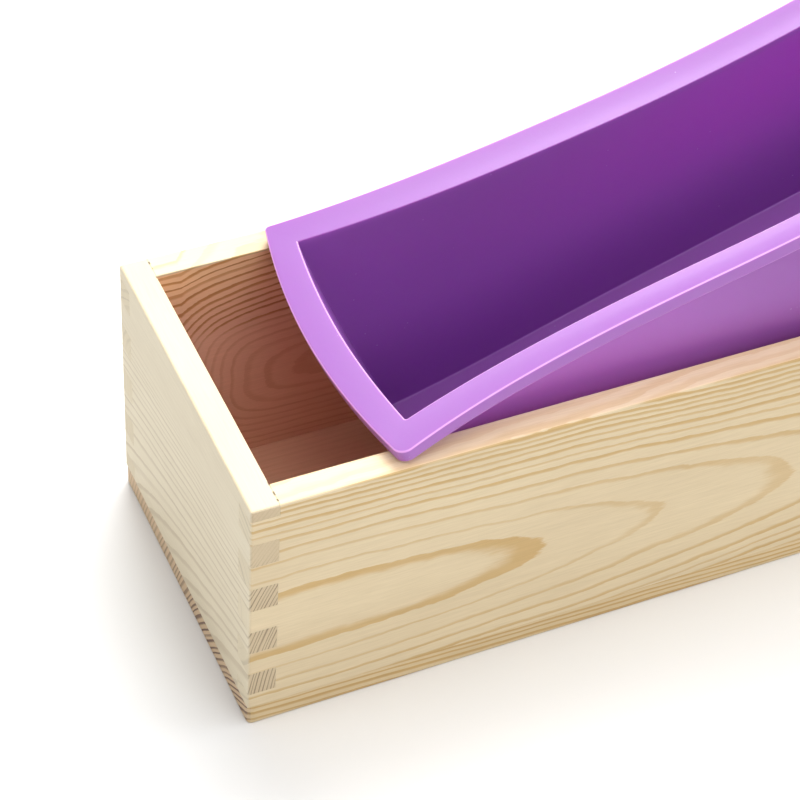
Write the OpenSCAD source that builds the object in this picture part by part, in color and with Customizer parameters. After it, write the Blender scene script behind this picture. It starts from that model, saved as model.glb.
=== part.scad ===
/* [Box] */
// Outside length of the box
box_l = 280; // [220:1:350]
// Outside width of the box
box_w = 93.5; // [76:0.5:120]
// Outside height of the box, with its bottom board
box_h = 80; // [64:0.5:100]
// Thickness of the four wall boards
wall_t = 7.5; // [6:0.05:9.5]
// Thickness of the bottom board
bottom_t = 6.5; // [4:0.05:9]

/* [Finger joints] */
// Height of one finger
finger_h = 8.05; // [6:0.05:12]
// Height of the lowest finger, which is on the long boards
low_finger_h = 5.5; // [3:0.05:8]
// A finger thinner than this at the top is left out
least_finger = 1.5; // [0.5:0.1:2.5]

/* [Liner] */
// Gap between the box walls and the body of the liner when it is seated
liner_gap = 0.75; // [0.5:0.05:1.5]
// Gap between the bottom board and the floor of the liner when it is seated
floor_gap = 0.1; // [0:0.05:1]
// Thickness of the liner's walls
liner_t = 2.4; // [2:0.1:3.5]
// Thickness of the liner's floor
floor_t = 2.8; // [2:0.1:4]
// Thickness of the rim
rim_t = 3.8; // [2.5:0.1:5]
// How far the rim stands out from the body along its sides
rim_side = 6; // [4:0.1:7.5]
// How far the rim stands out from the body at its ends
rim_end = 4.6; // [3:0.1:7]
// How much narrower the body is at its floor, on each side
draft = 2.6; // [0.5:0.1:4]
// Radius of the rim's outer corners
rim_r = 3; // [1:0.1:4]
// Radius of the body's outer corners
body_r = 2.6; // [1:0.1:4]
// Radius of the corners inside
inner_r = 0.5; // [0.3:0.1:2]

/* [How the liner lies] */
// Distance of the liner's left end from the left end of the box
shift = 39.6; // [34:0.1:60]
// Gap between the liner and the tops of the boards that it rests on
rest_gap = 0.72; // [0.5:0.01:1.5]
// Gap between the liner and the front board that it has slid against
side_gap = 0.7; // [0.3:0.05:1.5]
// How much the far part of the liner is bent upwards, in degrees
bend = 9; // [4:0.5:12]
// Where that bend starts, measured from the left end
bend_from = 92; // [60:1:110]
// Length of the bend
bend_l = 90; // [60:1:110]
// How far the long sides of the rim are drawn in at mid length
bow = 8.2; // [3:0.1:10]
// How flat that curve is in the middle, where a higher value is flatter
bow_power = 3.8; // [2:0.1:6]
// How far the ends of the rim bulge out
bulge = 5.6; // [0:0.1:8]
// Length over which the bulge fades
bulge_l = 60; // [40:1:80]
// How far the foot of the left end is drawn in
tuck = 8; // [0:0.5:9]
// How low on the wall that happens, where a higher value is lower
tuck_power = 1.6; // [1:0.1:3]
// Where that starts to fade, measured from the left end
tuck_from = 12; // [6:1:30]
// Where it has faded, measured from the left end
tuck_to = 75; // [50:1:100]
// Share of its depth that the body loses at mid length
squeeze = 0.104; // [0:0.001:0.15]
// How much the sides of the rim roll up, for each unit of lean of the wall
roll_side = 2.8; // [0:0.1:3]
// How much the ends of the rim roll down, for each unit of lean of the wall
roll_end = 0.7; // [0:0.1:3]

/* [Hidden] */

wood = [0.87, 0.78, 0.62];
silicone = [0.66, 0.40, 0.82];
cut = 1;        // how far a cutting solid runs past a face

wall_h = box_h - bottom_t;
inner_l = box_l - 2 * wall_t;
inner_w = box_w - 2 * wall_t;

// The fingers, counted upwards from the bottom board: even ones belong to the
// long boards and odd ones to the end boards.
finger_n = floor((wall_h - low_finger_h - least_finger) / finger_h) + 2;
function finger_z(i) =
    bottom_t + (i == 0 ? 0 : i >= finger_n ? wall_h : low_finger_h + (i - 1) * finger_h);

// The liner as it is moulded. Its own coordinates are the distance along it
// from the left end of the rim, across it from its centre line, and the
// height, which is 0 on top of the rim and negative below.
body_l = inner_l - 2 * liner_gap;
body_w = inner_w - 2 * liner_gap;
rim_l = body_l + 2 * rim_end;
rim_w = body_w + 2 * rim_side;
total_h = wall_h - floor_gap + rim_t;
inner_h = total_h - floor_t;

side_n = 24;    // segments along each side
end_n = 4;      // segments along half of each end
corner_n = 2;   // segments round each corner
wall_n = 4;     // levels down each wall
half_n = side_n + 2 * end_n + 2 * corner_n;
loop_n = 2 * half_n;

// Half of one level, from the middle of the left end to the middle of the
// right end: inset is from the end of the rim, half_w from the centre line.
function half_loop(inset, half_w, r) = concat(
    [for (i = [0 : end_n]) [inset, (half_w - r) * i / end_n]],
    [for (i = [1 : corner_n]) let (a = 90 * i / corner_n)
        [inset + r * (1 - cos(a)), half_w - r * (1 - sin(a))]],
    [for (i = [1 : side_n]) [inset + r + (rim_l - 2 * (inset + r)) * i / side_n, half_w]],
    [for (i = [1 : corner_n]) let (a = 90 * i / corner_n)
        [rim_l - inset - r * (1 - sin(a)), half_w - r * (1 - cos(a))]],
    [for (i = [1 : end_n]) [rim_l - inset, (half_w - r) * (1 - i / end_n)]]);

// The whole level: point i and point loop_n - i mirror each other.
function level(inset, half_w, r, height) =
    let (half = half_loop(inset, half_w, r))
    [for (i = [0 : loop_n - 1]) i <= half_n
        ? [half[i][0], half[i][1], height]
        : [half[loop_n - i][0], -half[loop_n - i][1], height]];

function outer_level(share) = level(rim_end + draft * share, body_w / 2 - draft * share,
    body_r, -rim_t - (total_h - rim_t) * share);
function inner_level(share) = level(rim_end + liner_t + draft * share,
    body_w / 2 - liner_t - draft * share, inner_r, -inner_h * share);

levels = concat(
    [for (i = [0 : wall_n]) outer_level(1 - i / wall_n)],
    [level(0, rim_w / 2, rim_r, -rim_t), level(0, rim_w / 2, rim_r, 0)],
    [for (i = [0 : wall_n]) inner_level(i / wall_n)]);

// The way the liner lies: straight, then a bend, then straight again.
function clamped(value, top) = min(max(value, 0), top);
function slope(along, start) = start + bend * clamped(along - bend_from, bend_l) / bend_l;
bend_r = bend_l * 180 / (PI * bend);
function path(along, start) =
    let (before = min(along, bend_from), after = max(along - bend_from - bend_l, 0),
         a = slope(along, start))
    [before * cos(start) + bend_r * (sin(a) - sin(start)) + after * cos(start + bend),
     before * sin(start) + bend_r * (cos(start) - cos(a)) + after * sin(start + bend)];

// Curves of the pose, each between 0 and 1.
function drawn_in(along) = 1 - pow(abs(1 - 2 * along / rim_l), bow_power);
function lean(height) = pow(max(1 + height / total_h, 0), 1.5);
function fade(along) = pow(max(1 - along / bulge_l, 0), 2);
function drawn_up(along) =
    let (share = clamped((tuck_to - along) / (tuck_to - tuck_from), 1))
    share * share * (3 - 2 * share);
function depth_share(along) = 1 - squeeze * pow(sin(180 * along / rim_l), 2);

// The floor's underside, seen from the lower edge of the rim's left end with
// the liner not yet tilted.
function reach(along) =
    let (p = path(along, 0), a = slope(along, 0), depth = total_h * depth_share(along))
    [p[0] + depth * sin(a), p[1] - depth * cos(a) + rim_t];
// The place along the liner where its floor lies on the right end board.
span = box_l - wall_t - shift;
function contact(low, high, steps) =
    let (mid = (low + high) / 2)
    steps == 0 ? mid
  : norm(reach(mid)) < span ? contact(mid, high, steps - 1) : contact(low, mid, steps - 1);
floor_at = reach(contact(0, rim_l, 24));
// The tilt that brings this place as high as the left end of the rim.
tilt = -atan2(floor_at[1], floor_at[0]);

liner_x = -box_l / 2 + shift - rim_t * sin(tilt);
liner_z = box_h + rest_gap + rim_t * cos(tilt);
// Just under the top of the front board the body has come this far inwards.
near_along = rim_end + body_r;
near_depth = rim_t + near_along * tan(tilt) + rest_gap;
near_in = draft * near_depth / total_h + bow * drawn_in(near_along) * lean(-near_depth);
liner_y = side_gap - liner_gap - near_in;

// From a point of the moulded liner to its place in the box.
function placed(p) =
    let (on_rim = p[2] > -rim_t - 0.001,
         out_side = on_rim ? max(abs(p[1]) - body_w / 2, 0) : 0,
         out_end = on_rim ? max(rim_end - min(p[0], rim_l - p[0]), 0) : 0,
         inwards = bow * drawn_in(p[0]),
         outwards = bulge * (1 - pow(2 * p[1] / rim_w, 2)),
         along = p[0] + outwards * lean(p[2]) * (fade(rim_l - p[0]) - fade(p[0]))
             + tuck * drawn_up(p[0]) * pow(max(-p[2] / total_h, 0), tuck_power),
         across = p[1] - sign(p[1]) * inwards * lean(p[2]),
         body_share = (total_h * depth_share(p[0]) - rim_t) / (total_h - rim_t),
         height = (on_rim ? p[2] : -rim_t + (p[2] + rim_t) * body_share)
             + (out_side * roll_side * inwards - out_end * roll_end * outwards) / total_h,
         at = path(along, tilt), a = slope(along, tilt))
    [liner_x + at[0] - height * sin(a), liner_y + across, liner_z + at[1] + height * cos(a)];

function loop_faces(k) = [for (i = [0 : loop_n - 1])
    let (a = k * loop_n + i, b = k * loop_n + (i + 1) % loop_n)
    each [[a, b, b + loop_n], [a, b + loop_n, a + loop_n]]];
// A level closed by strips from each point to its mirror point, and at each end
// by a fan from the first point round the corner.
function cap_faces(first) =
    let (near = end_n + 1, far = half_n - near,
         left = first + near, right = first + loop_n - far)
    concat(
        [for (i = [-near : end_n - 1])
            [first + (i + loop_n) % loop_n, first + (i + 1 + loop_n) % loop_n, left]],
        [for (i = [near : far - 1])
            let (a = first + i, b = first + loop_n - i)
            each [[a, a + 1, b - 1], [a, b - 1, b]]],
        [for (i = [far : half_n + end_n - 1]) [first + i, first + i + 1, right]]);
function turned(faces) = [for (f = faces) [f[2], f[1], f[0]]];

// A long board lies with its outer face on y = 0 and the box on its +Y side.
module long_board() {
    color(wood)
    difference() {
        translate([-box_l / 2, 0, bottom_t]) cube([box_l, wall_t, wall_h]);
        for (i = [1 : 2 : finger_n - 1], x = [-box_l / 2 - cut, box_l / 2 - wall_t])
            finger_cut(x, -cut, i, [wall_t + cut, wall_t + 2 * cut]);
    }
}

// An end board lies with its outer face on x = 0 and the box on its +X side.
module end_board() {
    color(wood)
    difference() {
        translate([0, -box_w / 2, bottom_t]) cube([wall_t, box_w, wall_h]);
        for (i = [0 : 2 : finger_n - 1], y = [-box_w / 2 - cut, box_w / 2 - wall_t])
            finger_cut(-cut, y, i, [wall_t + 2 * cut, wall_t + cut]);
    }
}

// The room for finger i of the other board.
module finger_cut(x, y, i, size) {
    low = finger_z(i) - (i == 0 ? cut : 0);
    high = finger_z(i + 1) + (i == finger_n - 1 ? cut : 0);
    translate([x, y, low]) cube([size[0], size[1], high - low]);
}

module front_board() {
    translate([0, -box_w / 2, 0]) long_board();
}

module back_board() {
    mirror([0, 1, 0]) translate([0, -box_w / 2, 0]) long_board();
}

module left_end_board() {
    translate([-box_l / 2, 0, 0]) end_board();
}

module right_end_board() {
    mirror([1, 0, 0]) translate([-box_l / 2, 0, 0]) end_board();
}

module bottom_board() {
    color(wood) translate([-box_l / 2, -box_w / 2, 0]) cube([box_l, box_w, bottom_t]);
}

module silicone_liner() {
    color(silicone)
    polyhedron(
        points = [for (one = levels) each [for (p = one) placed(p)]],
        faces = concat(
            [for (k = [0 : len(levels) - 2]) each loop_faces(k)],
            turned(cap_faces(0)),
            cap_faces((len(levels) - 1) * loop_n)));
}

front_board();
back_board();
left_end_board();
right_end_board();
bottom_board();
silicone_liner();
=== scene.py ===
import bpy
import bmesh
import numpy as np
from mathutils import Matrix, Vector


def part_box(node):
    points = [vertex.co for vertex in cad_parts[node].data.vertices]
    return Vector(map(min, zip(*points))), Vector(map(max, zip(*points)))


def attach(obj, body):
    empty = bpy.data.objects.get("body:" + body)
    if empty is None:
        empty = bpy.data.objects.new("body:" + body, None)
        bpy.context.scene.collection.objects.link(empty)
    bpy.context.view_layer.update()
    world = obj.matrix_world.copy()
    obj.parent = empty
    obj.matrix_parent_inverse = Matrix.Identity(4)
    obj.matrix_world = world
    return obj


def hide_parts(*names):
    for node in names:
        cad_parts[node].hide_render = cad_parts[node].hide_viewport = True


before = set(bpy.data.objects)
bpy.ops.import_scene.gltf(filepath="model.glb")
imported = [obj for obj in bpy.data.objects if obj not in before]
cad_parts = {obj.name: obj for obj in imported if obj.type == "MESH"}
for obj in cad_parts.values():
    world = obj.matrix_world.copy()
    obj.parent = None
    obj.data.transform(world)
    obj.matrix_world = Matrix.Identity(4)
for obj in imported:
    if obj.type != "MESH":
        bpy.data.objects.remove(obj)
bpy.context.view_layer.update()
mm = 0.001
near = 1e-5  # metres within which two places count as one

boxLow, boxHigh = (np.array(corner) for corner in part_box("bottom_board"))
frontLow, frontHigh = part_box("front_board")
wallTop = frontHigh[2]
wallThick = frontHigh[1] - frontLow[1]
bottomThick = boxHigh[2]
openX, openY = boxHigh[0] - wallThick, boxHigh[1] - wallThick  # half the length and width of the opening


class Wire:  # a node socket: + - * / and ** between wires and numbers add Math nodes
    def __init__(self, tree, socket=None):
        self.tree = tree
        self.socket = socket

    def node(self, kind, settings=None, inputs=None, output=0):  # any node: settings, then its sockets
        made = self.tree.nodes.new(kind)
        for key, value in (settings or {}).items():
            if key == "points":  # (in, out) pairs of a float curve, joined by straight lines
                curve = made.mapping.curves[0]
                while len(curve.points) < len(value):
                    curve.points.new(0.5, 0.5)
                for point, place in zip(curve.points, value):
                    point.location = place
                    point.handle_type = "VECTOR"
                made.mapping.update()
            else:
                setattr(made, key, value)
        for key, value in (inputs or {}).items():
            if isinstance(value, Wire):
                self.tree.links.new(value.socket, made.inputs[key])
            else:
                made.inputs[key].default_value = value
        return Wire(self.tree, made.outputs[output])

    def math(self, operation, *values):
        return self.node("ShaderNodeMath", {"operation": operation}, dict(enumerate(values)))

    def __add__(self, other):
        return self.math("ADD", self, other)

    def __radd__(self, other):
        return self.math("ADD", other, self)

    def __sub__(self, other):
        return self.math("SUBTRACT", self, other)

    def __rsub__(self, other):
        return self.math("SUBTRACT", other, self)

    def __mul__(self, other):
        return self.math("MULTIPLY", self, other)

    def __rmul__(self, other):
        return self.math("MULTIPLY", other, self)

    def __truediv__(self, other):
        return self.math("DIVIDE", self, other)

    def __rtruediv__(self, other):
        return self.math("DIVIDE", other, self)

    def __pow__(self, other):
        return self.math("POWER", self, other)

    def __rpow__(self, other):
        return self.math("POWER", other, self)

    def __abs__(self):
        return self.math("ABSOLUTE", self)

    def step(self, low, high):  # 0 up to low, 1 from high on, smooth between; low may be the higher one
        return self.node("ShaderNodeMapRange", {"interpolation_type": "SMOOTHSTEP"},
                         {"Value": self, "From Min": low, "From Max": high, "To Min": 0.0, "To Max": 1.0})

    def mix(self, colourA, colourB):  # colourA where this wire is 0, colourB where it is 1
        return self.node("ShaderNodeMix", {"data_type": "RGBA", "clamp_factor": True},
                         {0: self, 6: colourA, 7: colourB}, output=2)

    def curve(self, places, results):  # straight lines through the results at the places, all 0 to 1
        points = list(zip(map(float, places), map(float, results)))
        return self.node("ShaderNodeFloatCurve", {"points": points}, {"Value": self})

    def tint(self, colour, amount=1.0):  # this colour times another, by a share
        return self.node("ShaderNodeMix", {"data_type": "RGBA", "blend_type": "MULTIPLY"},
                         {0: amount, 6: self, 7: colour}, output=2)

    def noise(self, scale, detail=2.0, roughness=0.5, width="3D"):  # about -0.5 to 0.5 at this place
        place = {"W": self} if width == "1D" else {"Vector": self}
        return self.node("ShaderNodeTexNoise", {"noise_dimensions": width},
                         {**place, "Scale": scale, "Detail": detail, "Roughness": roughness}) - 0.5


def newMaterial(name):  # an empty material, its Principled shader and a wire to start sums from
    material = bpy.data.materials.new(name)
    material.use_nodes = True
    tree = material.node_tree
    return material, tree.nodes["Principled BSDF"], Wire(tree)


def rgb(red, green, blue):
    return (red, green, blue, 1.0)


# Pine: growth rings round each board's own pith.
pine = {
    "early": rgb(0.752, 0.624, 0.416),      # pale earlywood
    "late": rgb(0.615, 0.416, 0.172),       # tan latewood line
    "endEarly": rgb(0.640, 0.520, 0.350),   # earlywood on end grain
    "inside": rgb(1.16, 0.92, 1.01),        # painted shade: reddish tint of the inner faces low down, for the dim, reddened light inside the box
    "insideTop": rgb(1.36, 1.12, 1.00),     # and a lighter one near their top: painted light where light enters the box
    "insideLate": rgb(0.70, 0.62, 0.62),    # painted shade: darkening of the lines on the inner faces
    "top": rgb(1.28, 1.25, 1.27),           # painted light: lighter tint of the walls' top faces
    "topLines": 0.35,                       # strength of the lines there
    "gap": rgb(0.10, 0.07, 0.04),           # dark ticks where the joints are not quite closed
    "fibreTints": (rgb(0.88, 0.86, 0.82), rgb(1.06, 1.06, 1.07)),
    "fibreContrast": 1.3,
    "endFibre": 0.25,                       # how much of the fibre shows on end grain
    "cloudTints": (rgb(0.94, 0.92, 0.89), rgb(1.04, 1.04, 1.03)),
    "cloudContrast": 1.6,
    "softStart": 180.0,                     # how softly the pith starts to move, in square mm
    "drift": 5.0,                           # how far it wanders, in mm
    "slowWave": 1.1,                        # waves of the rings, in mm
    "quickWave": 0.34,
    "uneven": 1.1,                          # by how many rings an even spacing strays
    "unevenEvery": 0.31,                    # and how often, per ring
    "innerSoft": 0.06,                      # how far a line fades inwards, as a share of its ring
    "outerSoft": 0.05,                      # and outwards
    "strength": 0.75,                       # of an even ring's latewood
    "varyStrength": 0.8,                    # how much that differs from ring to ring
    "varyWidth": 0.4,
    "varyPatch": 0.6,                       # and along a ring
    "rough": 0.58,
    "relief": 0.35,
    "reliefDepth": 0.12 * mm,
}

# Patterns in the wood: repeats per mm along and across the grain, detail and roughness of the noise.
grain = {
    "drift": (0.016, 0.03, 1.0, 0.5),
    "slow": (0.09, 0.16, 2.0, 0.5),
    "quick": (0.30, 2.2, 2.0, 0.5),
    "fibre": (0.10, 2.6, 3.0, 0.6),
    "cloud": (0.012, 0.05, 2.0, 0.5),       # paler and darker parts of a board
    "patch": (0.03, 0.12, 1.0, 0.5),        # stretches with stronger lines
}

# The four boards that end at a corner share their end grain by direction.
longEnd = {"endTone": rgb(1.17, 1.28, 1.42), "endLate": rgb(0.330, 0.245, 0.150)}
shortEnd = {"endTone": rgb(1, 1, 1), "endLate": rgb(0.290, 0.215, 0.140)}

boards = {
    "front_board": {
        **longEnd,
        "axes": "XZY",                # the axes that run along, across and through the board
        "pith": (37.2, -26.75),       # centre of the rings across and through it, in mm
        "from": -85.0,                # place along it, in mm, past which the pith moves through it
        "past": 1,                    # to the right or back (1) or to the left or front (-1) of that place
        "away": 0.100,                # by this much per mm
        "most": 500.0,                # for at most so many mm
        "square": 2.0,                # shape of the rings: 2 is round, more is squarer
        "wave": 1.0,                  # how wavy they are
        "face": 1.0,                  # strength of the lines on the faces
        "end": 0.35,                  # and on end grain
        "fade": (-20.0, -10.0, 1.0),  # it grows from one place across to another, from a least share
        "tone": rgb(1, 1, 1),
        "rings": [                    # outer radius, latewood width and strength, in mm
            (12.5, 0.6, 0.4), (15.5, 0.7, 0.4), (19.0, 0.6, 0.2), (23.0, 1.4, 1.0), (26.2, 0.60, 0.45),
            (30.2, 0.90, 0.60), (33.6, 0.95, 0.75), (37.0, 1.10, 0.90), (39.2, 0.80, 0.65),
            (41.5, 1.10, 1.00), (43.5, 0.85, 0.75), (45.3, 1.00, 1.00), (46.8, 0.85, 0.80),
            (48.4, 1.10, 1.10), (50.0, 1.00, 1.00), (51.7, 1.20, 1.20), (53.4, 1.15, 1.15),
            (55.2, 1.20, 1.20), (57.0, 1.15, 1.15), (58.8, 1.25, 1.20), (60.5, 1.15, 1.15),
            (62.3, 1.20, 1.15)],
    },
    "back_board": {
        **longEnd,
        "axes": "XZY", "pith": (35.0, 33.0), "from": -108.0, "past": -1, "away": -1.10, "most": 20.0,
        "square": 3.0, "wave": 1.1, "face": 1.5, "end": 0.35, "fade": (52.0, 60.0, 0.26),
        "tone": rgb(1, 1, 1),
        "spacing": 2.3,               # even rings instead of a list, in mm
        "share": 0.40,                # latewood's share of each
    },
    "left_end_board": {
        **shortEnd,
        "axes": "YZX", "pith": (-5.0, -26.0), "from": -60.0, "past": 1, "away": 0.084, "most": 500.0,
        "square": 2.0, "wave": 0.3, "face": 0.90, "end": 1.20, "fade": (66.0, 52.0, 0.12),
        "tone": rgb(1.025, 1.11, 1.27), "spacing": 1.00, "share": 0.36,
        "late": rgb(0.560, 0.430, 0.260),
    },
    "right_end_board": {
        **shortEnd,
        "axes": "YZX", "pith": (52.0, 96.0), "from": -60.0, "past": 1, "away": -0.080, "most": 500.0,
        "square": 2.0, "wave": 0.8, "face": 0.8, "end": 0.9, "fade": (-20.0, -10.0, 1.0),
        "tone": rgb(1.03, 1.07, 1.14), "spacing": 2.1, "share": 0.40,
    },
    "bottom_board": {
        "axes": "XYZ", "pith": (-66.0, -35.0), "from": -150.0, "past": 1, "away": -0.030, "most": 500.0,
        "square": 2.0, "wave": 0.6, "face": 1.4, "end": 1.3, "fade": (34.0, -24.0, 0.30),
        "tone": rgb(0.98, 0.94, 0.86), "spacing": 1.7, "share": 0.50,
        "endTone": rgb(1.06, 0.98, 0.95), "endLate": rgb(0.170, 0.100, 0.070),
        "innerLoss": 0.7,             # how much weaker its lines are inside the box
    },
}


# Ring radius = distance from the pith line, plus slow and quick waves. A ring count grows by one per ring,
# and the latewood is the last part of each ring, with a soft inner and a sharp outer edge.
def pineMaterial(name, board):
    material, shader, start = newMaterial(name + "Pine")
    coordinates = start.node("ShaderNodeTexCoord", output="Object")
    normal = start.node("ShaderNodeTexCoord", output="Normal")
    spot = {}
    facing = {}
    for i, axis in enumerate("XYZ"):
        spot[axis] = coordinates.node("ShaderNodeSeparateXYZ", None, {0: coordinates}, output=i) * 1000.0
        facing[axis] = normal.node("ShaderNodeSeparateXYZ", None, {0: normal}, output=i)
    along, across, through = (spot[axis] for axis in board["axes"])
    top = float(wallTop) * 1000
    endGrain = abs(facing[board["axes"][0]]).step(0.55, 0.85)
    onTop = facing["Z"].step(0.6, 0.9) * spot["Z"].step(top - 20, top - 10)
    inner = insideMask(spot)

    def pattern(which):  # noise stretched along the grain
        perAlong, perAcross, detail, roughness = grain[which]
        place = start.node("ShaderNodeCombineXYZ", None,
                           {0: along * perAlong, 1: across * perAcross, 2: through * perAcross})
        return place.noise(1.0, detail, roughness)

    past = (along - board["from"]) * board["past"]
    moved = (past + (past * past + pine["softStart"]) ** 0.5) * 0.5  # distance past it, starting softly
    moved = moved.math("MINIMUM", moved, board["most"])
    depth = through - board["pith"][1] - moved * board["away"]
    height = across - board["pith"][0] + pattern("drift") * pine["drift"]
    ripple = pattern("slow") * pine["slowWave"] + pattern("quick") * pine["quickWave"]
    power = board["square"]
    radius = (abs(depth) ** power + abs(height) ** power) ** (1 / power) + ripple * board["wave"]
    if "rings" in board:  # a curve turns the radius into a ring count, others give width and strength
        rings = np.array(board["rings"])
        reach, total = float(rings[-1, 0]), len(rings)
        gap = np.diff(rings[:, 0], prepend=rings[0, 0] - 3.0)
        order = (np.arange(total) + 0.5) / total
        count = (radius / reach).curve(rings[:, 0] / reach, (np.arange(total) + 1) / total) * float(total)
        whole = count.math("FLOOR", count)
        middle = (whole + 0.5) / float(total)
        share = middle.curve(order, np.clip(rings[:, 1] / gap, 0, 1))
        weight = middle.curve(order, rings[:, 2] * 0.5) * 2.0
    else:
        count = radius / board["spacing"]
        count = count + count.noise(pine["unevenEvery"], 1.0, width="1D") * pine["uneven"]
        whole = count.math("FLOOR", count)
        vary = whole.noise(0.737, 0.0, width="1D")  # one value per ring, for a scale that isn't whole
        share = board["share"] - vary * pine["varyWidth"]
        weight = pine["strength"] + vary * pine["varyStrength"]
    part = count - whole
    innerEdge = 1.0 - share
    late = part.step(innerEdge - pine["innerSoft"], innerEdge + share * 0.5)
    late = late * part.step(1.0, 1.0 - pine["outerSoft"])
    fibre = pattern("fibre")
    cloud = pattern("cloud")
    patch = pattern("patch")
    fadeFrom, fadeTo, least = board["fade"]
    visible = across.step(fadeFrom, fadeTo) * (1 - least) + least
    visible = visible * (1 - onTop * (1 - pine["topLines"])) * (1 - inner * board.get("innerLoss", 0.0))
    line = late * (weight + patch * pine["varyPatch"]) * visible
    faceColour = (line * board["face"]).mix(pine["early"], board.get("late", pine["late"]))
    faceColour = faceColour.tint(board["tone"], 1 - onTop)
    endLine = line * board["end"] + fibre * pine["endFibre"]
    endColour = endLine.mix(pine["endEarly"], board["endLate"]).tint(board["endTone"])
    colour = endGrain.mix(faceColour, endColour)
    colour = colour.tint((fibre * pine["fibreContrast"] + 0.5).mix(*pine["fibreTints"]))
    colour = colour.tint((cloud * pine["cloudContrast"] + 0.5).mix(*pine["cloudTints"]))
    # Painted shade and light on the inner faces: a reddish tint low down, a lighter one near their top, and
    # darker lines.
    shaded = spot["Z"].step(top - 28, top + 2).mix(pine["inside"], pine["insideTop"])
    # Painted light on the walls' top faces: a lighter tint.
    colour = colour.tint(shaded, inner).tint(pine["insideLate"], inner * line).tint(pine["top"], onTop)
    colour = (jointGap(spot) * onTop).mix(colour, pine["gap"])
    start.tree.links.new(colour.socket, shader.inputs["Base Color"])
    rough = pine["rough"] - line * 0.08 + fibre * 0.12 + endGrain * 0.12
    start.tree.links.new(rough.socket, shader.inputs["Roughness"])
    relief = start.node("ShaderNodeBump", None, {
        "Strength": pine["relief"], "Distance": pine["reliefDepth"], "Height": fibre + line * 0.5})
    start.tree.links.new(relief.socket, shader.inputs["Normal"])
    return material


# 1 on the faces inside the box, 0 on its outer faces and on top of its walls.
def insideMask(spot):
    inX = abs(spot["X"]).step(float(openX) * 1000 + 0.6, float(openX) * 1000 + 0.1)
    inY = abs(spot["Y"]).step(float(openY) * 1000 + 0.6, float(openY) * 1000 + 0.1)
    above = spot["Z"].step(float(bottomThick) * 1000 - 0.6, float(bottomThick) * 1000 - 0.1)
    below = spot["Z"].step(float(wallTop) * 1000 - 0.4, float(wallTop) * 1000 - 0.7)
    return inX * inY * above * below


# Ticks along the top joints, in mm.
ticks = {
    "width": (0.30, 0.16),   # half of it, where it starts to darken and where it is dark
    "inset": (3.5, 1.5),     # how far inside the walls' inner faces they start, and are at full strength
    "often": 0.55,           # repeats of the noise that breaks them up, per mm
    "broken": (0.02, 0.10),
}


# The ticks lie on the inner plane of the end boards, near the walls' inner faces and beyond.
def jointGap(spot):
    close = abs(abs(spot["X"]) - float(openX) * 1000).step(*ticks["width"])
    reach = abs(spot["Y"]).step(*(float(openY) * 1000 - inset for inset in ticks["inset"]))
    broken = spot["Y"].noise(ticks["often"], 1.0, width="1D").step(*ticks["broken"])
    return close * reach * broken


# The five boards.
joinery = {
    "lowFinger": 5.5 * mm,    # lowest finger, on the long boards
    "finger": 8.05 * mm,      # all the others
    "leastFinger": 1.5 * mm,  # a thinner one at the top is left out
    "arris": 0.7 * mm,        # rounding of the box's outer edges
    "foot": 1.8 * mm,         # of the bottom board's corners
    "innerArris": 0.35 * mm,  # of the walls' inner top edges
    "joint": 0.09 * mm,       # of the edges along a joint
    "segments": 3,            # steps in each rounding
}

wallHeight = wallTop - bottomThick
fingerCount = int((wallHeight - joinery["lowFinger"] - joinery["leastFinger"]) / joinery["finger"]) + 2
innerEdges = bottomThick + joinery["lowFinger"] + np.arange(fingerCount - 1) * joinery["finger"]
fingerEdges = np.array([bottomThick, *innerEdges, wallTop])


# A block grid: one face between each filled cell and an empty one, turned outwards, with shared corners.
def cellMesh(name, edges, filled):
    counts = np.array(filled.shape)
    padded = np.pad(filled, 1)
    quads = []
    for axis in range(3):
        u, v = np.eye(3, dtype=int)[(axis + 1) % 3], np.eye(3, dtype=int)[(axis + 2) % 3]
        for side in (0, 1):
            move = 2 * side - 1
            beyond = np.roll(padded, -move, axis)[1:-1, 1:-1, 1:-1]
            base = np.argwhere(filled & ~beyond) + side * np.eye(3, dtype=int)[axis]
            ring = (0 * u, u, u + v, v) if side else (0 * u, v, u + v, u)
            quads.append(np.stack([base + corner for corner in ring], 1))
    quads = np.concatenate(quads)
    flat = np.ravel_multi_index(tuple(np.moveaxis(quads, -1, 0)), tuple(counts + 1))
    used, faces = np.unique(flat, return_inverse=True)
    where = np.stack(np.unravel_index(used, tuple(counts + 1)), 1)
    points = np.stack([edges[axis][where[:, axis]] for axis in range(3)], 1)
    mesh = bpy.data.meshes.new(name)
    mesh.from_pydata(points.tolist(), [], faces.reshape(-1, 4).tolist())
    mesh.update()
    return mesh


def readArray(items, field, width, kind=np.float32):
    values = np.empty(len(items) * width, kind)
    items.foreach_get(field, values)
    return values.reshape(-1, width) if width > 1 else values


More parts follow.
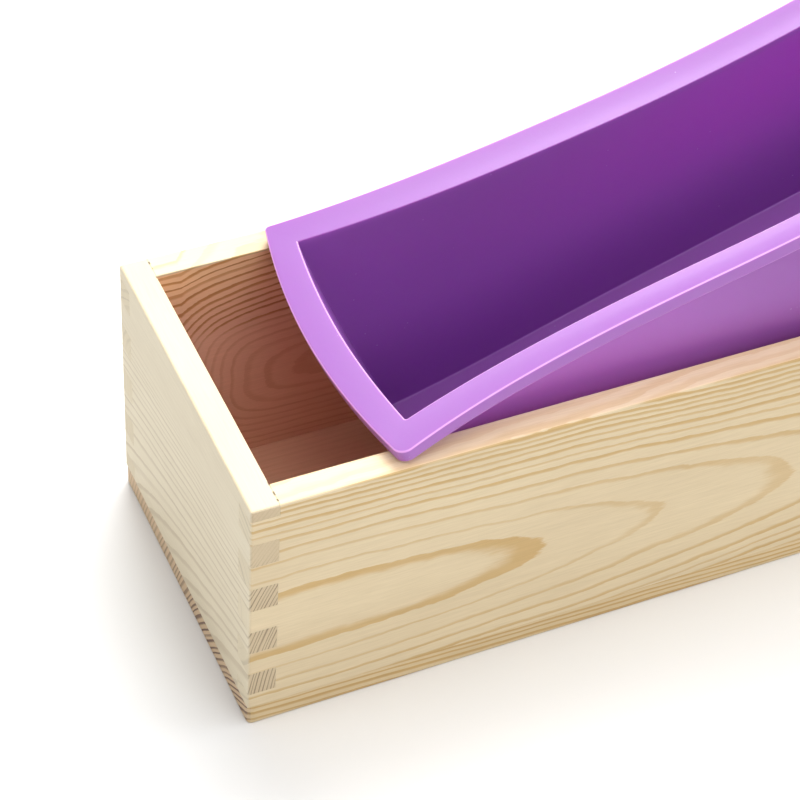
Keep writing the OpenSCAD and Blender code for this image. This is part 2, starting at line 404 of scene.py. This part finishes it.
# Bevel weight of each sharp edge: most on the box's outer edges, less on the inner top edge, least on a
# joint between boards.
def weighEdges(mesh):
    points = readArray(mesh.vertices, "co", 3)
    ends = readArray(mesh.edges, "vertices", 2, np.int32)
    loopEdge = readArray(mesh.loops, "edge_index", 1, np.int32)
    normals = readArray(mesh.polygons, "normal", 3)
    loopFace = np.repeat(np.arange(len(mesh.polygons)), 4)
    pairs = loopFace[np.argsort(loopEdge, kind="stable")].reshape(-1, 2)
    sharp = (normals[pairs[:, 0]] * normals[pairs[:, 1]]).sum(1) < 0.5
    low, high = points[ends].min(1), points[ends].max(1)
    outerLow, outerHigh = np.array([boxLow[0], boxLow[1], 0]), np.array([boxHigh[0], boxHigh[1], wallTop])
    onPlane = ((high < outerLow + near) | (low > outerHigh - near)).sum(1)
    onTop = low[:, 2] > wallTop - near
    width = np.where(onPlane > 1, joinery["arris"], np.where(onTop, joinery["innerArris"], joinery["joint"]))
    acrossTop = onTop & (onPlane < 2) & ~insideEdge(low, high)
    width = np.where(acrossTop, joinery["joint"], width)
    upright = (onPlane > 1) & (high[:, 2] - low[:, 2] > near)
    width = np.where(upright & (high[:, 2] < bottomThick + near), joinery["foot"], width)
    weights = mesh.attributes.new("bevel_weight_edge", "FLOAT", "EDGE")
    weights.data.foreach_set("value", np.where(sharp, width / joinery["foot"], 0).astype(np.float32))


def insideEdge(low, high):  # whether an edge runs along the opening of the box
    onX = (np.abs(np.abs(low[:, 0]) - openX) < near) & (np.abs(np.abs(high[:, 0]) - openX) < near)
    onY = (np.abs(np.abs(low[:, 1]) - openY) < near) & (np.abs(np.abs(high[:, 1]) - openY) < near)
    spanX = (np.abs(low[:, 0]) < openX + near) & (np.abs(high[:, 0]) < openX + near)
    spanY = (np.abs(low[:, 1]) < openY + near) & (np.abs(high[:, 1]) < openY + near)
    return (onX & spanY) | (onY & spanX)


def finishBoard(name, mesh):
    weighEdges(mesh)
    piece = bpy.data.objects.new(name + "_wood", mesh)
    bpy.context.scene.collection.objects.link(piece)
    bevel = piece.modifiers.new("arris", "BEVEL")
    bevel.limit_method = "WEIGHT"
    bevel.width = joinery["foot"]
    bevel.segments = joinery["segments"]
    mesh.materials.append(pineMaterial(name, boards[name]))
    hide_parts(name)
    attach(piece, "box")
    return piece


# A wall is one slab; its fingers are the cells of its two end columns that the other walls leave free.
def wallBoard(name, alongX, side):
    end = boxHigh[0 if alongX else 1]
    face = boxHigh[1 if alongX else 0]
    run = np.array([-end, wallThick - end, end - wallThick, end])
    slab = np.array([-face, wallThick - face]) if side < 0 else np.array([face - wallThick, face])
    filled = np.ones((3, 1, fingerCount), bool)
    filled[[0, 2], :, (1 if alongX else 0)::2] = False
    edges = [run, slab, fingerEdges]
    if not alongX:
        edges = [slab, run, fingerEdges]
        filled = filled.transpose(1, 0, 2)
    return finishBoard(name, cellMesh(name, edges, filled))


wallBoard("front_board", True, -1)
wallBoard("back_board", True, 1)
wallBoard("left_end_board", False, -1)
wallBoard("right_end_board", False, 1)
finishBoard("bottom_board", cellMesh("bottom_board", [
    np.array([boxLow[0], boxHigh[0]]), np.array([boxLow[1], boxHigh[1]]), np.array([0, bottomThick])],
    np.ones((1, 1, 1), bool)))
print("boards made")


# The liner: a profile of its wall carried round a rounded rectangle, then laid the way it lies. Along is
# measured from the left end of its rim, across from its middle, height from the top of its rim, in mm;
# angles are in degrees.
liner = {
    "gap": 0.75,                 # between its body and each wall when it is seated in the box
    "floorGap": 0.1,
    "wall": 2.4,
    "floor": 2.8,
    "rim": 3.8,
    "rimSide": 6.0,              # how far the rim stands out along the sides and at the ends
    "rimEnd": 4.6,
    "draft": 2.6,                # how much narrower the body is at its floor, on each side
    "rimCorner": 3.0,            # corner radii seen from above
    "bodyCorner": 2.6,
    "innerCorner": 0.6,
    "floorCorner": 1.2,
    "cornerShare": (1.0, 1.0, 1.0, 0.35),  # of those radii: front left, front right, back right, back left
    "rounding": (1.4, 0.6, 0.4, 0.42, 0.36, 0.5),  # where each corner of the profile starts to turn
    "edgeHighlight": (0, 0, 0.4, 1.0, 2.0, 0),      # how strong the painted highlight on each of them is; over 1 it is the rim's inner edge
    "at": (-101.334, -1.606, 84.40),       # where the left end of its rim lies in the box's frame
    "tilt": 14.2223,
    "bend": 9.0,                 # it bends up by this much, from a place along it, over a length
    "bendFrom": 92.0,
    "bendLength": 90.0,
    "bow": 8.2,                  # how far its long sides are drawn in at mid length
    "bowPower": 3.8,             # how flat that curve is in the middle
    "middle": 14.0,              # half width of the middle strip, which isn't drawn to a side
    "bulge": 5.6,                # how far its ends stand out in the middle
    "bulgeLength": 60.0,
    "tuck": 8.0,                 # how far the foot of the left end is drawn in
    "tuckPower": 1.6,
    "tuckFrom": 12.0,            # where that starts to fade and where it has faded
    "tuckTo": 75.0,
    "squeeze": 0.104,            # share of its depth that the body loses at mid length
    "rollSide": 2.8,             # how much the rim turns with its wall
    "rollEnd": 0.7,
    "sideSteps": 170,
    "endSteps": 26,
    "cornerSteps": 6,
    "runSteps": (14, 26, 2, 2, 2, 26, 14),  # of the straight runs of the profile
    "turnSteps": 5,
}
liner["bodyWidth"] = round(2 * float(openY) * 1000, 2) - 2 * liner["gap"]
liner["rimWidth"] = liner["bodyWidth"] + 2 * liner["rimSide"]
liner["rimLength"] = round(2 * float(openX) * 1000, 2) - 2 * liner["gap"] + 2 * liner["rimEnd"]
liner["totalDepth"] = round(float(wallHeight) * 1000, 2) - liner["floorGap"] + liner["rim"]
liner["innerDepth"] = liner["totalDepth"] - liner["floor"]


# The path is straight, then an arc of the bend, then straight again, all turned up by the tilt.
def linerPath(along, v):
    start, turn = np.radians(v["tilt"]), np.radians(v["bend"])
    radius = v["bendLength"] / turn
    slope = start + turn * np.clip(along - v["bendFrom"], 0, v["bendLength"]) / v["bendLength"]
    before = np.minimum(along, v["bendFrom"])
    after = np.maximum(along - v["bendFrom"] - v["bendLength"], 0)
    x = before * np.cos(start) + radius * (np.sin(slope) - np.sin(start)) + after * np.cos(start + turn)
    z = before * np.sin(start) + radius * (np.cos(start) - np.cos(slope)) + after * np.sin(start + turn)
    return x, z, slope


# The long sides lean inwards and the ends outwards, more the higher up; the foot of the left end is drawn
# in; the rim rolls with its walls; the floor rises a little at mid length; then every point goes onto the
# path.
def layLiner(along, across, height, v):
    onRim = height > -v["rim"] - 0.001
    fromEnd = np.minimum(along, v["rimLength"] - along)
    outSide = np.where(onRim, np.maximum(np.abs(across) - v["bodyWidth"] / 2, 0), 0)
    outEnd = np.where(onRim, np.maximum(v["rimEnd"] - fromEnd, 0), 0)
    inwards = v["bow"] * (1 - np.abs(1 - 2 * along / v["rimLength"]) ** v["bowPower"])
    outwards = v["bulge"] * (1 - (2 * across / v["rimWidth"]) ** 2)
    lean = np.maximum(1 + height / v["totalDepth"], 0) ** 1.5
    fadeLeft = np.maximum(1 - along / v["bulgeLength"], 0) ** 2
    fadeRight = np.maximum(1 - (v["rimLength"] - along) / v["bulgeLength"], 0) ** 2
    share = 1 - v["squeeze"] * np.sin(np.pi * along / v["rimLength"]) ** 2
    bodyShare = (v["totalDepth"] * share - v["rim"]) / (v["totalDepth"] - v["rim"])
    lifted = np.where(onRim, height, -v["rim"] + (height + v["rim"]) * bodyShare)
    roll = outSide * v["rollSide"] * inwards - outEnd * v["rollEnd"] * outwards
    lifted = lifted + roll / v["totalDepth"]
    close = np.clip((v["tuckTo"] - along) / (v["tuckTo"] - v["tuckFrom"]), 0, 1)
    foot = np.maximum(-height / v["totalDepth"], 0) ** v["tuckPower"]
    tuck = v["tuck"] * close ** 2 * (3 - 2 * close) * foot
    x, z, slope = linerPath(along + outwards * lean * (fadeRight - fadeLeft) + tuck, v)
    return np.stack([v["at"][0] + x - lifted * np.sin(slope),
                     v["at"][1] + across - np.tanh(across / v["middle"]) * inwards * lean,
                     v["at"][2] + z + lifted * np.cos(slope)], -1)


def span(run):  # length of a straight run of the profile
    return max(np.hypot(min(abs(run[0]), abs(run[1])), run[3]), 1e-9)


# Each row is (inset from the rim's ends, half width, corner radius, height). The profile runs from the
# middle of the underside, out and up round the rim, and in and down to the middle of the floor; each corner
# is rounded by a quadratic curve. It returns the rows, the strength of the painted edge highlight on each,
# and its
# depth: 0 on the rim, 1 on the inner floor, negative on the outer wall.
def linerProfile(v):
    body, half = v["bodyWidth"] / 2, v["rimWidth"] / 2
    inset, draft, wall = v["rimEnd"], v["draft"], v["wall"]
    corners = [
        (inset + draft, body - draft, v["bodyCorner"], -v["totalDepth"]),
        (inset, body, v["bodyCorner"], -v["rim"]),
        (0, half, v["rimCorner"], -v["rim"]),
        (0, half, v["rimCorner"], 0),
        (inset + wall, body - wall, v["innerCorner"], 0),
        (inset + wall + draft, body - wall - draft, v["floorCorner"], -v["innerDepth"])]
    middles = [(corner[0] + corner[1], 0, 0, corner[3]) for corner in (corners[0], corners[-1])]
    chain = np.array([middles[0], *corners, middles[1]])
    turn = np.linspace(0, 1, v["turnSteps"] + 1)[:, None]
    rows, edge = [], []
    leave = chain[0]
    for k in range(1, len(chain)):
        target = chain[k]
        last = k == len(chain) - 1
        arrive = target
        if not last:
            before, after = chain[k - 1] - target, chain[k + 1] - target
            arrive = target + before * (v["rounding"][k - 1] / span(before))
            depart = target + after * (v["rounding"][k - 1] / span(after))
        cuts = np.unique(np.concatenate([np.linspace(0, 1, v["runSteps"][k - 1] + 1), [0.03, 0.97]]))
        run = leave + (arrive - leave) * cuts[:, None]
        rows.append(run if k == 1 else run[1:])
        edge.append(np.zeros(len(rows[-1])))
        if not last:
            arc = (1 - turn) ** 2 * arrive + 2 * turn * (1 - turn) * target + turn ** 2 * depart
            rows.append(arc[1:])
            edge.append(v["edgeHighlight"][k - 1] * np.sin(np.pi * turn[1:, 0]))
            leave = depart
    rows, edge = np.concatenate(rows), np.concatenate(edge)
    inner = np.arange(len(rows)) > np.argmax(edge)
    outer = np.where(rows[:, 3] < -v["rim"] - 0.01, rows[:, 3] / v["totalDepth"], 0)
    depth = np.where(inner, -rows[:, 3] / v["innerDepth"], outer)
    return rows, edge, depth


# One loop per profile row: a rounded rectangle whose straight runs are cut evenly and whose corners are
# quarter circles. All loops have the same number of points, so they join into quads.
def roundedLoops(rows, v):
    inset, half, corner = rows[:, 0:1], rows[:, 1:2], rows[:, 2:3]
    corner = np.minimum(corner, np.minimum(half, v["rimLength"] / 2 - inset))
    frontLeft, frontRight, backRight, backLeft = (corner * share for share in v["cornerShare"])
    side = np.linspace(0, 1, v["sideSteps"], endpoint=False)[None]
    end = np.linspace(0, 1, v["endSteps"], endpoint=False)[None]
    angle = np.linspace(0, np.pi / 2, v["cornerSteps"], endpoint=False)[None]
    left, right = inset, v["rimLength"] - inset
    rise, fall = np.sin(angle), np.cos(angle)
    along = np.concatenate([
        left + frontLeft + (right - left - frontLeft - frontRight) * side, right - frontRight * (1 - rise),
        right + 0 * end, right - backRight * (1 - fall),
        right - backRight - (right - left - backRight - backLeft) * side, left + backLeft * (1 - rise),
        left + 0 * end, left + frontLeft * (1 - fall)], 1)
    across = np.concatenate([
        -half + 0 * side, -half + frontRight * (1 - fall),
        -half + frontRight + (2 * half - frontRight - backRight) * end, half - backRight * (1 - rise),
        half + 0 * side, half - backLeft * (1 - fall),
        half - backLeft - (2 * half - backLeft - frontLeft) * end, -half + frontLeft * (1 - rise)], 1)
    return along, across, np.broadcast_to(rows[:, 3:4], along.shape)


# Profile rows and loop points make a grid, and each cell of it a quad. The rim's inner edge carries a
# painted highlight at the front and ends, and a painted shadow line (negative) at the back.
def linerPiece(v):
    rows, edge, depth = linerProfile(v)
    along, across, height = roundedLoops(rows, v)
    points = layLiner(along, across, height, v) * mm
    levels, count = along.shape
    level, spot = np.meshgrid(np.arange(levels - 1), np.arange(count), indexing="ij")
    after = (spot + 1) % count
    faces = np.stack([level * count + spot, level * count + after,
                      (level + 1) * count + after, (level + 1) * count + spot], -1).reshape(-1, 4)
    mesh = bpy.data.meshes.new("linerSilicone")
    mesh.from_pydata(points.reshape(-1, 3).tolist(), [], faces.tolist())
    atBack = across > rows[:, 1:2] - 0.01
    edges = np.where(edge[:, None] > 1, np.where(atBack, -0.5, 0.5) * edge[:, None], edge[:, None])
    for key, values in (("rimEdge", edges), ("innerDepth", np.broadcast_to(depth[:, None], edges.shape))):
        attribute = mesh.attributes.new(key, "FLOAT", "POINT")
        attribute.data.foreach_set("value", np.ravel(values).astype(np.float32))
    merged = bmesh.new()
    merged.from_mesh(mesh)
    bmesh.ops.remove_doubles(merged, verts=merged.verts, dist=2e-6)
    if merged.calc_volume(signed=True) < 0:
        bmesh.ops.reverse_faces(merged, faces=merged.faces)
    merged.to_mesh(mesh)
    merged.free()
    mesh.polygons.foreach_set("use_smooth", np.ones(len(mesh.polygons), bool))
    piece = bpy.data.objects.new("liner_silicone", mesh)
    bpy.context.scene.collection.objects.link(piece)
    mesh.materials.append(siliconeMaterial())
    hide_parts("silicone_liner")
    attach(piece, "liner")
    return piece


# Silicone: violet, satin, slightly see-through, with a little dust, and with painted light and shade: a
# paler rim, highlights on its edges, lighter and darker walls, a paler floor.
silicone = {
    "violet": rgb(0.355, 0.127, 0.472),
    "cloudy": rgb(0.340, 0.118, 0.458),    # the other colour of its faint clouds
    # painted sheen: the rim is a little paler than the walls
    "rim": rgb(0.366, 0.139, 0.494),
    "lit": rgb(0.470, 0.104, 0.580),       # inner walls where light comes through the raised end
    "outerLit": rgb(0.535, 0.160, 0.655),  # outer walls at the left
    "outerShade": rgb(0.300, 0.070, 0.390),  # painted shade: darker outer walls towards the raised end
    "deepShade": rgb(0.260, 0.075, 0.370),      # painted shade low on the inner walls
    # painted reflected light: a paler inner floor
    "floor": rgb(0.390, 0.146, 0.510),
    "edge": rgb(0.80, 0.42, 0.84),         # painted highlights on the rim's edges
    "seamShadow": rgb(0.300, 0.060, 0.360),      # shadow line along its back inner edge
    "dust": rgb(0.60, 0.42, 0.70),
    "clouds": 28.0,                        # repeats of the patterns per metre
    "mottle": 330.0,
    "fine": 900.0,
    "specks": 330.0,
    "speckPatches": 75.0,
    "speckSize": (0.09, 0.04),             # where a speck starts and is full, as a share of its cell
    "litFrom": (-0.06, 0.05),              # where along the box, in metres, each of those colours
    "outerLitTo": (0.03, -0.06),           # starts to show and is full
    "outerFarFrom": (-0.02, 0.05),
    "floorLightFrom": (-0.12, -0.02),
    "rough": 0.37,
    "relief": 0.15,
    "reliefDepth": 0.08 * mm,
    "scatter": 0.30,                       # share of light that soaks in
    "scatterReach": (0.0060, 0.0016, 0.0040),  # and how far, in metres for red, green and blue
}


# Depth is 0 on the rim, up to 1 on the inner floor, and negative on the outer walls.
def siliconeMaterial():
    material, shader, start = newMaterial("violetSilicone")
    spot = start.node("ShaderNodeTexCoord", output="Object")
    edge = start.node("ShaderNodeAttribute", {"attribute_name": "rimEdge"}, output="Fac")
    depth = start.node("ShaderNodeAttribute", {"attribute_name": "innerDepth"}, output="Fac")
    alongX = start.node("ShaderNodeSeparateXYZ", None, {0: spot})
    cloud = spot.noise(silicone["clouds"], 3.0)
    mottle = spot.noise(silicone["mottle"], 2.0)
    fine = spot.noise(silicone["fine"], 2.0)
    cells = spot.node("ShaderNodeTexVoronoi", None, {"Vector": spot, "Scale": silicone["specks"]})
    dust = cells.step(*silicone["speckSize"]) * spot.noise(silicone["speckPatches"], 0.0).step(0.12, 0.16)
    onRim = abs(depth).step(0.03, 0.0)
    lit = alongX.step(*silicone["litFrom"]) * depth.step(0.0, 0.04) * depth.step(0.85, 0.10)
    outer = depth.step(-0.05, -0.12)
    colour = (cloud * 1.2 + mottle * 0.5 + 0.5).mix(silicone["cloudy"], silicone["violet"])
    # Painted sheen: the rim is painted a little paler.
    colour = onRim.mix(colour, silicone["rim"])
    colour = lit.mix(colour, silicone["lit"])
    colour = (outer * alongX.step(*silicone["outerLitTo"]) * 0.7).mix(colour, silicone["outerLit"])
    # Painted shade: the outer walls darken towards the raised end.
    colour = (outer * alongX.step(*silicone["outerFarFrom"]) * 0.8).mix(colour, silicone["outerShade"])
    # Painted shade: the inner walls darken towards their foot.
    colour = (depth.step(0.45, 0.95) * 0.9).mix(colour, silicone["deepShade"])
    # Painted reflected light: the inner floor is paler, less so at the left.
    floorLight = depth.step(0.990, 0.999) * (alongX.step(*silicone["floorLightFrom"]) * 0.55 + 0.45)
    colour = floorLight.mix(colour, silicone["floor"])
    # Painted highlights along the rim's edges, and a painted shadow line along its back inner edge.
    colour = (edge * 0.85).mix(colour, silicone["edge"])
    colour = (edge * -0.7).mix(colour, silicone["seamShadow"])
    colour = (dust * 0.45).mix(colour, silicone["dust"])
    start.tree.links.new(colour.socket, shader.inputs["Base Color"])
    rough = silicone["rough"] + cloud * 0.10 + fine * 0.10 + dust * 0.2
    start.tree.links.new(rough.socket, shader.inputs["Roughness"])
    relief = start.node("ShaderNodeBump", None, {
        "Strength": silicone["relief"], "Distance": silicone["reliefDepth"], "Height": fine + dust * 2.0})
    start.tree.links.new(relief.socket, shader.inputs["Normal"])
    shader.inputs["Subsurface Weight"].default_value = silicone["scatter"]
    shader.inputs["Subsurface Radius"].default_value = silicone["scatterReach"]
    shader.inputs["Subsurface Scale"].default_value = 1.0
    return material


linerPiece(liner)
print("liner made")


# Floor, light and camera.
studio = {
    "floor": rgb(0.89, 0.89, 0.89),
    "floorReach": 3.0,
    "floorRough": 0.7,
    "skyColour": rgb(1.0, 1.0, 1.0),
    "sky": 0.02,                   # its strength as a light
    "backdrop": 1.0,               # and as seen by the camera
    "lightSize": 1.0,
    "aim": (0, 0, 0.05),           # where all the lights point
    "lights": {                    # place and power
        "overhead": ((0.05, 0.05, 1.35), 5.5),
        "overheadLeft": ((-0.6, 0.1, 1.2), 2.7),
        "overheadFront": ((0.1, -0.7, 1.15), 5.4),
        "overheadBack": ((0.35, 0.75, 1.15), 24.5),
        "front": ((0.2, -1.2, 0.55), 2.2),
        "left": ((-1.2, -0.1, 0.5), 4.3),
        "right": ((1.3, -0.3, 0.5), 14.0),
    },
    "cameraAt": (-0.2917, -0.42325, 0.5202),
    "cameraRight": (0.9146, -0.4012, 0.0516),
    "cameraUp": (0.2490, 0.6590, 0.7100),
    "cameraBack": (-0.3188, -0.6364, 0.7023),
    "lens": 114.5,
}


def floorPiece():
    reach = studio["floorReach"]
    corners = [(-reach, -reach, 0), (reach, -reach, 0), (reach, reach, 0), (-reach, reach, 0)]
    mesh = bpy.data.meshes.new("floor")
    mesh.from_pydata(corners, [], [(0, 1, 2, 3)])
    material, shader, start = newMaterial("paleFloor")
    shader.inputs["Base Color"].default_value = studio["floor"]
    shader.inputs["Roughness"].default_value = studio["floorRough"]
    shader.inputs["Specular IOR Level"].default_value = 0.2
    mesh.materials.append(material)
    floor = bpy.data.objects.new("floor", mesh)
    bpy.context.scene.collection.objects.link(floor)


def aimed(at, right, up, back):  # a matrix from three axes and a place
    return Matrix([[right[i], up[i], back[i], at[i]] for i in range(3)] + [[0, 0, 0, 1]])


def softLight(name, at, power):  # a square light that faces the aim
    back = np.array(at) - np.array(studio["aim"])
    back = back / np.linalg.norm(back)
    right = np.cross((0, 0, 1), back)
    right = right / np.linalg.norm(right)
    light = bpy.data.lights.new(name, "AREA")
    light.size = studio["lightSize"]
    light.energy = power
    lamp = bpy.data.objects.new(name, light)
    bpy.context.scene.collection.objects.link(lamp)
    lamp.matrix_world = aimed(at, right, np.cross(back, right), back)


floorPiece()
for lightName, (lightAt, lightPower) in studio["lights"].items():
    softLight(lightName, lightAt, lightPower)
world = bpy.data.worlds.new("studio")
world.use_nodes = True
sky = Wire(world.node_tree)
seen = sky.node("ShaderNodeLightPath", output="Is Camera Ray")
brightness = seen * (studio["backdrop"] - studio["sky"]) + studio["sky"]
world.node_tree.links.new(brightness.socket, world.node_tree.nodes["Background"].inputs["Strength"])
world.node_tree.nodes["Background"].inputs["Color"].default_value = studio["skyColour"]
bpy.context.scene.world = world
bpy.context.scene.view_settings.view_transform = "Standard"
camera = bpy.data.objects.new("camera", bpy.data.cameras.new("camera"))
camera.data.lens = studio["lens"]
camera.data.sensor_width = 36.0
camera.data.clip_start = 0.01
camera.matrix_world = aimed(*(studio["camera" + part] for part in ("At", "Right", "Up", "Back")))
bpy.context.scene.collection.objects.link(camera)
bpy.context.scene.camera = camera
print("stage made")
